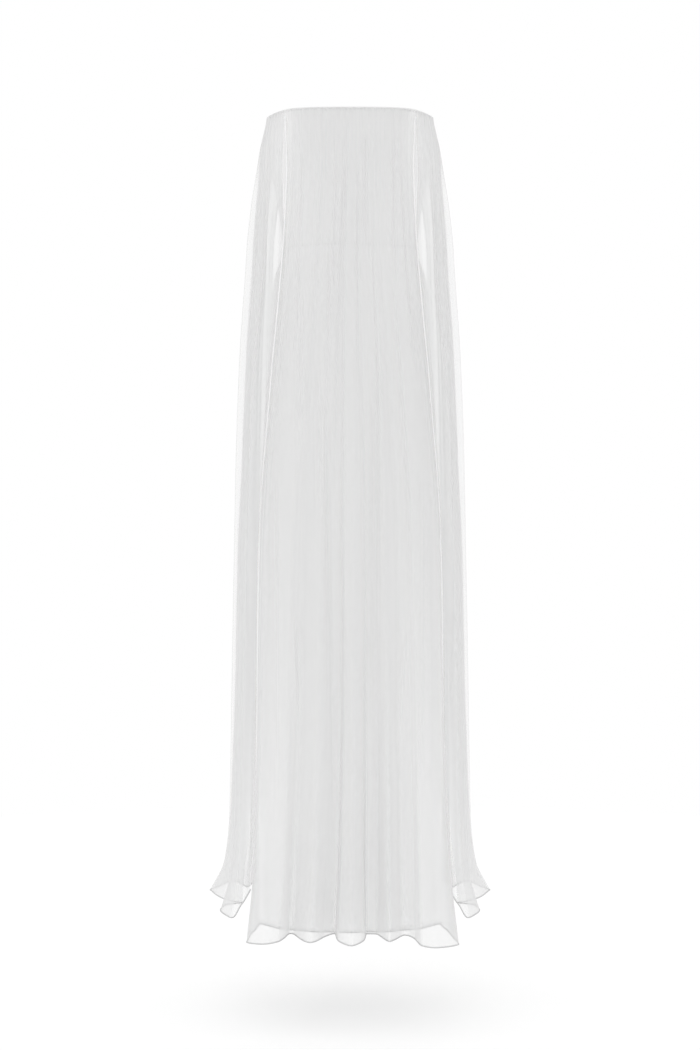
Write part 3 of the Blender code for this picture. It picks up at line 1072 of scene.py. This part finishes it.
@dataclass
class Wardrobe:
    """Keeps one material for each finish and puts it on pieces."""

    made: dict[Finish, bpy.types.Material] = field(default_factory=dict)

    def dress(self, piece: bpy.types.Object, finish: Finish) -> None:
        """Gives a piece its finish.

        Args:
            piece: the finished mesh.
            finish: its cloth.
        """
        if finish not in self.made:
            self.made[finish] = finish.value.material()
        piece.data.materials.clear()
        piece.data.materials.append(self.made[finish])


def place(piece: bpy.types.Object, nodes: Sequence[str] = ()) -> None:
    """Puts a piece on the gown's one body, in the place of the CAD nodes named.

    Args:
        piece: the dressed piece.
        nodes: the CAD nodes that it replaces.
    """
    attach(piece, "root")
    if nodes:
        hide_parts(*nodes)
    LOG.info("%s: %d vertices", piece.name, len(piece.data.vertices))


# The gown's pieces


@dataclass
class FallingPanel:
    """A sheer panel gathered into the top edge, which falls free to a rolled, fluted hem.

    Its head stands up inside the binding. Its edge layers are the share of the fullness that is
    left at a free edge, where the cloth lies smooth.
    """

    name: str
    node: str
    flat: tuple[float, float]
    sections: Sequence[Section]
    turns: Sequence[Turn]
    creases: Sequence[Crease]
    gathers: Gathers
    fullness: Sequence[Fullness]
    layers: Variation = Variation(1.0, 0.05, 8)
    loop: Optional[ClearLoop] = None
    tucks: Sequence[Tuck] = ()
    tuck_share: float = 0.15
    tuck_both: bool = False
    mirrored: bool = False
    columns: int = 330
    rows: int = 132
    head_height: float = 0.0046
    head_turn_in: float = 0.0004
    hem_radius: float = 0.0011
    flutter: float = 0.0014
    flutter_from: float = 0.93
    flutter_pace: int = 5
    flutter_waves: int = 3
    edge_layers: float = 1.0
    edge_width: float = 0.07
    edge_radius: float = 0.0008
    edge_stand: float = 0.0005
    edge_thinnest: float = 0.35
    edge_swell_from: float = 0.03
    edge_swell_over: float = 0.16

    def column_shares(self) -> np.ndarray:
        """Spaces the columns evenly across the panel."""
        return np.linspace(0, 1, self.columns + 1)

    def row_shares(self) -> np.ndarray:
        """Spaces the rows down the panel."""
        return smooth_curve(ROW_PLACES, ROW_DOWNS, np.linspace(0, 1, self.rows))

    def drop_at(self, down: np.ndarray | float) -> np.ndarray | float:
        """Turns a share of the panel's length into a drop."""
        top, bottom = self.sections[0].drop, self.sections[-1].drop
        return top + (bottom - top) * down

    def grid(self) -> np.ndarray:
        """Lays out the panel's points.

        Returns:
            Rows of points from the top down, the head first.
        """
        shares = self.column_shares()
        top = self.sections[0].drop
        hem = {c: read_rows(self.turns, "at", c, shares) for c in ("x", "y", "drop")}
        hem_path, _ = plan_path(self.sections[-1], shares)
        flutes = np.stack([hem["x"], hem["y"]], axis=1) - hem_path
        rows = []
        for down in self.row_shares():
            drop = self.drop_at(down)
            section = section_at(self.sections, drop)
            points, _ = plan_path(section, shares)
            points = points + section.flare * flutes
            out = self.relief(shares, down)[:, None]
            points = points + outward_ways(points) * out + self.drawn_in(shares, drop)
            z = top_rise(points, drop) - (top + (hem["drop"] - top) * down)
            rows.append(np.column_stack([points, z]))
        inward = -outward_ways(rows[0][:, :2]) * self.head_turn_in
        head = np.column_stack([inward, np.full(len(shares), self.head_height)])
        grid = np.array([rows[0] + head, *rows])
        if self.mirrored:
            grid = grid[:, ::-1] * np.array([-1, 1, 1])
        return grid

    def relief(self, shares: np.ndarray, down: float) -> np.ndarray:
        """How far a row stands out: its gathers, its creases, and the flutter near the hem.

        Args:
            shares: the row's points.
            down: the row's share of the panel's length.

        Returns:
            The distance at each point.
        """
        drop = self.drop_at(down)
        out = self.gathers.relief(shares, drop, self.sections[0].drop)
        out = out + sum(crease.relief(shares, drop) for crease in self.creases)
        near_hem = smooth_step((down - self.flutter_from) / (1 - self.flutter_from))
        seed = self.gathers.seed + Draw.FLUTTER
        waves = slow_waves(shares * self.flutter_pace, seed, self.flutter_waves, self.flutter)
        return out + near_hem * waves

    def drawn_in(self, shares: np.ndarray, drop: float) -> np.ndarray:
        """How far points near a free edge are moved in plan, to lie before or behind a neighbour.

        Args:
            shares: the row's points.
            drop: the row's drop below the top edge.

        Returns:
            The move of each point, as x and y.
        """
        if not self.tucks:
            return np.zeros((len(shares), 2))
        move = np.array([read_drop(self.tucks, column, drop) for column in ("x", "y")])
        away = np.minimum(shares, 1 - shares) if self.tuck_both else shares
        return (1 - smooth_step(away / self.tuck_share))[:, None] * move

    def fullness_grid(self) -> np.ndarray:
        """How many times over the cloth is folded at each of the grid's points.

        Returns:
            A value for each point of the grid.
        """
        shares = self.column_shares()
        downs = np.concatenate([[0.0], self.row_shares()])
        times = read_rows(self.fullness, "drop", "times", self.drop_at(downs))
        full = times[:, None] * self.layers.across(shares, self.gathers.seed + Draw.LAYERS)
        edge = np.minimum(shares, 1 - shares) / self.edge_width
        full = full * (1 - (1 - self.edge_layers) * np.exp(-edge * edge))
        if self.loop:
            full = full + (self.loop.times - full) * self.loop.clearness(shares, downs)
        return full[:, ::-1] if self.mirrored else full

    def edge_rolls(self, grid: np.ndarray) -> list[bpy.types.Object]:
        """Makes the narrow turned edges down both sides, thinner near the top.

        Args:
            grid: the panel's points.

        Returns:
            The right edge and the left one.
        """
        rolls = []
        below_head = grid[2:-1]
        for side, column in (("right", 0), ("left", -1)):
            path = below_head[:, column].copy()
            swell = smooth_step((-path[:, 2] - self.edge_swell_from) / self.edge_swell_over)
            taper = self.edge_thinnest + (1 - self.edge_thinnest) * swell
            ways = np.array([outward_ways(row[:, :2])[column] for row in below_head])
            path[:, :2] += (self.edge_stand * taper)[:, None] * ways
            rolls.append(rolled_edge(f"{self.name}_{side}_edge", path, self.edge_radius, taper))
        return rolls

    def build(self, wardrobe: Wardrobe) -> None:
        """Makes the panel and the rolls round its free edges.

        Args:
            wardrobe: where its finishes come from.
        """
        grid = self.grid()
        cloth = cloth_mesh(self.name, grid, self.flat)
        layer = cloth.data.attributes.new("fullness", "FLOAT", "POINT")
        layer.data.foreach_set("value", self.fullness_grid().astype(np.float32).ravel())
        wardrobe.dress(cloth, Finish.CHIFFON)
        place(cloth, [self.node])
        hem = rolled_edge(self.name + "_hem_roll", grid[-1], self.hem_radius)
        # The hem roll's grey finish is painted shade
        wardrobe.dress(hem, Finish.ROLL)
        edges = self.edge_rolls(grid)
        for edge in edges:
            # The edges' whiter finish is a painted highlight
            wardrobe.dress(edge, Finish.EDGE)
        rolls = [hem, *edges]
        for roll in rolls:
            place(roll)


@dataclass
class Corset:
    """The boned corset, smooth in front over soft cups, in three pieces that meet at seams."""

    sections: Sequence[Section] = CORSET_SECTIONS
    cuts: Sequence[Cut] = CORSET_CUTS
    wall: float = 0.0018
    top: float = 0.004
    cup_fullness: float = 0.006
    cup_angle: float = 27.0
    cup_angle_spread: float = 17.0
    cup_drop: float = 0.060
    cup_drop_spread: float = 0.030
    seam_depth: float = 0.0009
    seam_width: float = 0.010
    columns_per_degree: float = 1.2
    rows: int = 60

    def relief(self, cut: Cut, shares: np.ndarray, drop: float) -> np.ndarray:
        """The cups, and the slight pull of the cloth into the seams at both edges.

        Args:
            cut: which piece it is.
            shares: the row's points.
            drop: the row's drop below the top edge.

        Returns:
            How far each point stands out.
        """
        edge = np.minimum(shares, 1 - shares)
        out = -self.seam_depth * np.exp(-((edge / self.seam_width) ** 2))
        if cut.node == "corset_front":
            angles = cut.start + (cut.end - cut.start) * shares
            away = ((np.abs(angles) - self.cup_angle) / self.cup_angle_spread) ** 2
            away = away + ((drop - self.cup_drop) / self.cup_drop_spread) ** 2
            out = out + self.cup_fullness * np.exp(-away)
        return out

    def grid(self, cut: Cut) -> np.ndarray:
        """Lays out one piece's points.

        Args:
            cut: which piece it is.

        Returns:
            Rows of points from the top down.
        """
        shares = np.linspace(0, 1, int((cut.end - cut.start) * self.columns_per_degree) + 1)
        drops = np.linspace(self.top, WAIST_DROP, self.rows)
        return cut_grid(self.sections, cut, drops, shares, partial(self.relief, cut))

    def build(self, wardrobe: Wardrobe) -> None:
        """Makes the front and the two backs.

        Args:
            wardrobe: where their finish comes from.
        """
        for cut in self.cuts:
            flat = (cut.width, cut.height)
            piece = cloth_mesh(cut.node + "_satin", self.grid(cut), flat)
            thicken(piece, self.wall)
            wardrobe.dress(piece, Finish.SATIN)
            place(piece, [cut.node])


@dataclass
class InnerSkirt:
    """The lining skirt, gathered to the waist seam, a front and a back that meet at the sides."""

    sections: Sequence[Section] = SKIRT_SECTIONS
    cuts: Sequence[Cut] = SKIRT_CUTS
    gathers: Gathers = SKIRT_GATHERS
    gather_share: float = 0.45
    wall: float = 0.0008
    waves: int = 7
    wave_depth: float = 0.0045
    pinch: float = 0.3
    opening_length: float = 0.06
    edge_width: float = 0.03
    crowding: float = 1.6
    columns: int = 200
    rows: int = 110
    hem_radius: float = 0.0010

    def relief(self, shares: np.ndarray, drop: float) -> np.ndarray:
        """How far a row stands out: soft waves that open below the seam, with gathers on them.

        Args:
            shares: the row's points.
            drop: the row's drop below the top edge.

        Returns:
            The distance at each point.
        """
        opening = smooth_step((drop - WAIST_DROP) / self.opening_length)
        edge = smooth_step(np.minimum(shares, 1 - shares) / self.edge_width)
        small = self.gathers.relief(shares, drop, WAIST_DROP) * edge
        wide = self.wave_depth * opening * np.sin(math.pi * self.waves * shares) ** 2
        return wide + self.gather_share * small * (self.pinch + (1 - self.pinch) * opening)

    def grid(self, cut: Cut) -> np.ndarray:
        """Lays out one half's points.

        Args:
            cut: which half it is.

        Returns:
            Rows of points from the top down, closer together at the seam.
        """
        shares = np.linspace(0, 1, self.columns + 1)
        downs = np.linspace(0, 1, self.rows) ** self.crowding
        drops = WAIST_DROP + (SKIRT_DROP - WAIST_DROP) * downs
        return cut_grid(self.sections, cut, drops, shares, self.relief)

    def build(self, wardrobe: Wardrobe) -> None:
        """Makes both halves.

        Args:
            wardrobe: where their finishes come from.
        """
        for cut in self.cuts:
            grid, flat = self.grid(cut), (cut.width, cut.height)
            piece = cloth_mesh(cut.node + "_crepe", grid, flat)
            thicken(piece, self.wall)
            wardrobe.dress(piece, Finish.LINING)
            place(piece, [cut.node])
            roll = rolled_edge(cut.node + "_hem_roll", grid[-1], self.hem_radius)
            # The hem roll's grey finish is painted shade
            wardrobe.dress(roll, Finish.ROLL)
            place(roll)


@dataclass
class TopBinding:
    """The narrow strip folded over the top edge, rounded at its fold and faintly puckered.

    Its sides are straight below three quarters of its height, and its fold is flattened to half
    a circle's height.
    """

    section: Section = BINDING_SECTION
    flat: tuple[float, float] = (0.83, 0.0155)
    height: float = 0.0052
    thickness: float = 0.0030
    straight_below: float = 0.75
    fold_steps: int = 12
    fold_flatness: float = 0.5
    pucker: float = 0.00018
    pucker_at_fold: float = 0.3
    puckers: int = 150
    unevenness: float = 2.0
    uneven_waves: int = 3
    columns: int = 600

    def profile(self) -> list[tuple[float, float]]:
        """Draws the strip's cross section, up the inside, over the fold and down the outside.

        Returns:
            Its points, as the way out and the height.
        """
        radius, straight = self.thickness / 2, -self.height * self.straight_below
        points = [(-radius, -self.height), (-radius, straight)]
        flattened = radius * self.fold_flatness
        for step in range(self.fold_steps + 1):
            turn = math.pi * step / self.fold_steps
            points.append((-radius * math.cos(turn), -flattened + flattened * math.sin(turn)))
        return [*points, (radius, straight), (radius, -self.height)]

    def build(self, wardrobe: Wardrobe) -> None:
        """Makes the folded strip as one long surface round the top edge.

        Args:
            wardrobe: where its finish comes from.
        """
        shares = np.linspace(0, 1, self.columns, endpoint=False)
        middle, _ = plan_path(self.section, shares)
        outward = outward_ways(middle, closed=True)
        shift = self.unevenness * np.sin(2 * math.pi * self.uneven_waves * shares)
        wobble = self.pucker * np.sin(2 * math.pi * self.puckers * shares + shift)
        rows = []
        for out, z in self.profile():
            low = min(1.0, -z / self.height)
            size = self.pucker_at_fold + (1 - self.pucker_at_fold) * low
            offset = out + math.copysign(1, out) * wobble * size
            points = middle + outward * offset[:, None]
            rows.append(np.column_stack([points, z + top_rise(middle, 0.0)]))
        strip = cloth_mesh("top_binding_strip", np.array(rows), self.flat, closed=True)
        wardrobe.dress(strip, Finish.BINDING)
        place(strip, ["top_binding"])


@dataclass
class Gown:
    """The whole gown."""

    wardrobe: Wardrobe = field(default_factory=Wardrobe)

    def panels(self) -> list[FallingPanel]:
        """Gathers up the tables of the four sheer panels.

        Returns:
            The front, the back and the left and right capes.
        """
        front = FallingPanel(
            "front_chiffon", "panel_front", (0.62, 1.46),
            FRONT_SECTIONS, FRONT_TURNS, FRONT_CREASES, FRONT_GATHERS, FRONT_FULLNESS,
            tucks=FRONT_TUCKS, tuck_both=True, edge_layers=0.45, edge_radius=0.0015,
        )
        back = FallingPanel(
            "back_chiffon", "panel_back", (0.44, 1.46),
            BACK_SECTIONS, BACK_TURNS, BACK_CREASES, BACK_GATHERS, BACK_FULLNESS,
        )
        left = FallingPanel(
            "left_cape_chiffon", "cape_left", (0.45, 1.44),
            SIDE_SECTIONS, SIDE_TURNS, SIDE_CREASES, SIDE_GATHERS, SIDE_FULLNESS,
            loop=SIDE_LOOP, tucks=SIDE_TUCKS, edge_layers=0.80,
        )
        right = replace(left, name="right_cape_chiffon", node="cape_right", mirrored=True)
        return [front, back, left, right]

    def build(self) -> None:
        """Builds every piece, the inner ones first."""
        Corset().build(self.wardrobe)
        InnerSkirt().build(self.wardrobe)
        TopBinding().build(self.wardrobe)
        for panel in self.panels():
            panel.build(self.wardrobe)


# The studio


@dataclass(frozen=True)
class SoftLight:
    """A large square light that points at the middle of the gown."""

    name: str
    power: float
    size: float
    at: tuple[float, float, float]

    def build(self) -> None:
        """Hangs the light in the scene."""
        light = bpy.data.lights.new(self.name, "AREA")
        light.energy = self.power
        light.size = self.size
        lamp = bpy.data.objects.new(self.name, light)
        lamp.location = self.at
        aim = Vector((0, 0, -CAMERA_DROP)) - Vector(self.at)
        lamp.rotation_euler = aim.to_track_quat("-Z", "Y").to_euler()
        bpy.context.scene.collection.objects.link(lamp)


@dataclass
class Studio:
    """A white studio: even light all round, two large soft lights, a pale floor and the camera."""

    white: str = "FFFFFF"
    surround: float = 1.0
    lights: Sequence[SoftLight] = (
        SoftLight("key", 4.0, 1.6, (-2.2, -2.4, 0.4)),
        SoftLight("top", 5.0, 3.0, (0.0, -0.3, 2.6)),
    )
    floor_drop: float = LENGTH + 0.16
    floor_radius: float = 2.6
    floor_sides: int = 96
    floor_colour: str = "CBCBCB"
    floor_glow: float = 0.42

    def build(self) -> None:
        """Sets up the surround, lights, floor and camera."""
        self.make_surround()
        for light in self.lights:
            light.build()
        self.make_floor()
        self.make_camera()

    def make_surround(self) -> None:
        """Lights the scene evenly from all round and sets plain colour handling."""
        world = bpy.data.worlds.new("white studio")
        world.use_nodes = True
        background = world.node_tree.nodes["Background"]
        background.inputs["Color"].default_value = linear_colour(self.white)
        background.inputs["Strength"].default_value = self.surround
        scene = bpy.context.scene
        scene.world = world
        scene.view_settings.view_transform = "Standard"
        scene.view_settings.look = "None"

    def make_floor(self) -> None:
        """Lays a plain pale floor below the hem, lit from within so that shadows stay pale."""
        bpy.ops.object.select_all(action="DESELECT")
        bpy.ops.mesh.primitive_circle_add(
            vertices=self.floor_sides,
            radius=self.floor_radius,
            fill_type="NGON",
            location=(0, 0, -self.floor_drop),
        )
        floor = bpy.context.active_object
        floor.name = "studio_floor"
        shading = {
            "Base Color": linear_colour(self.floor_colour),
            "Roughness": 1.0,
            "Specular IOR Level": 0.0,
            "Emission Color": linear_colour(self.white),
            "Emission Strength": self.floor_glow,
        }
        floor.data.materials.append(new_material("studio floor, white paper", shading))

    def make_camera(self) -> None:
        """Stands the camera level in front of the gown."""
        data = bpy.data.cameras.new("camera")
        data.sensor_width = SENSOR
        data.lens = FOCAL_PIXELS / PHOTO_HEIGHT * SENSOR
        camera = bpy.data.objects.new("camera", data)
        camera.location = (0, -CAMERA_DISTANCE, -CAMERA_DROP)
        camera.rotation_euler = (math.radians(90), 0, 0)
        bpy.context.scene.collection.objects.link(camera)
        bpy.context.scene.camera = camera


def main() -> None:
    """Builds the gown and its studio, and logs the vertex count of each piece of the gown."""
    logging.basicConfig(level=logging.INFO, format="%(name)s: %(message)s")
    Gown().build()
    Studio().build()


if __name__ == "__main__":
    main()
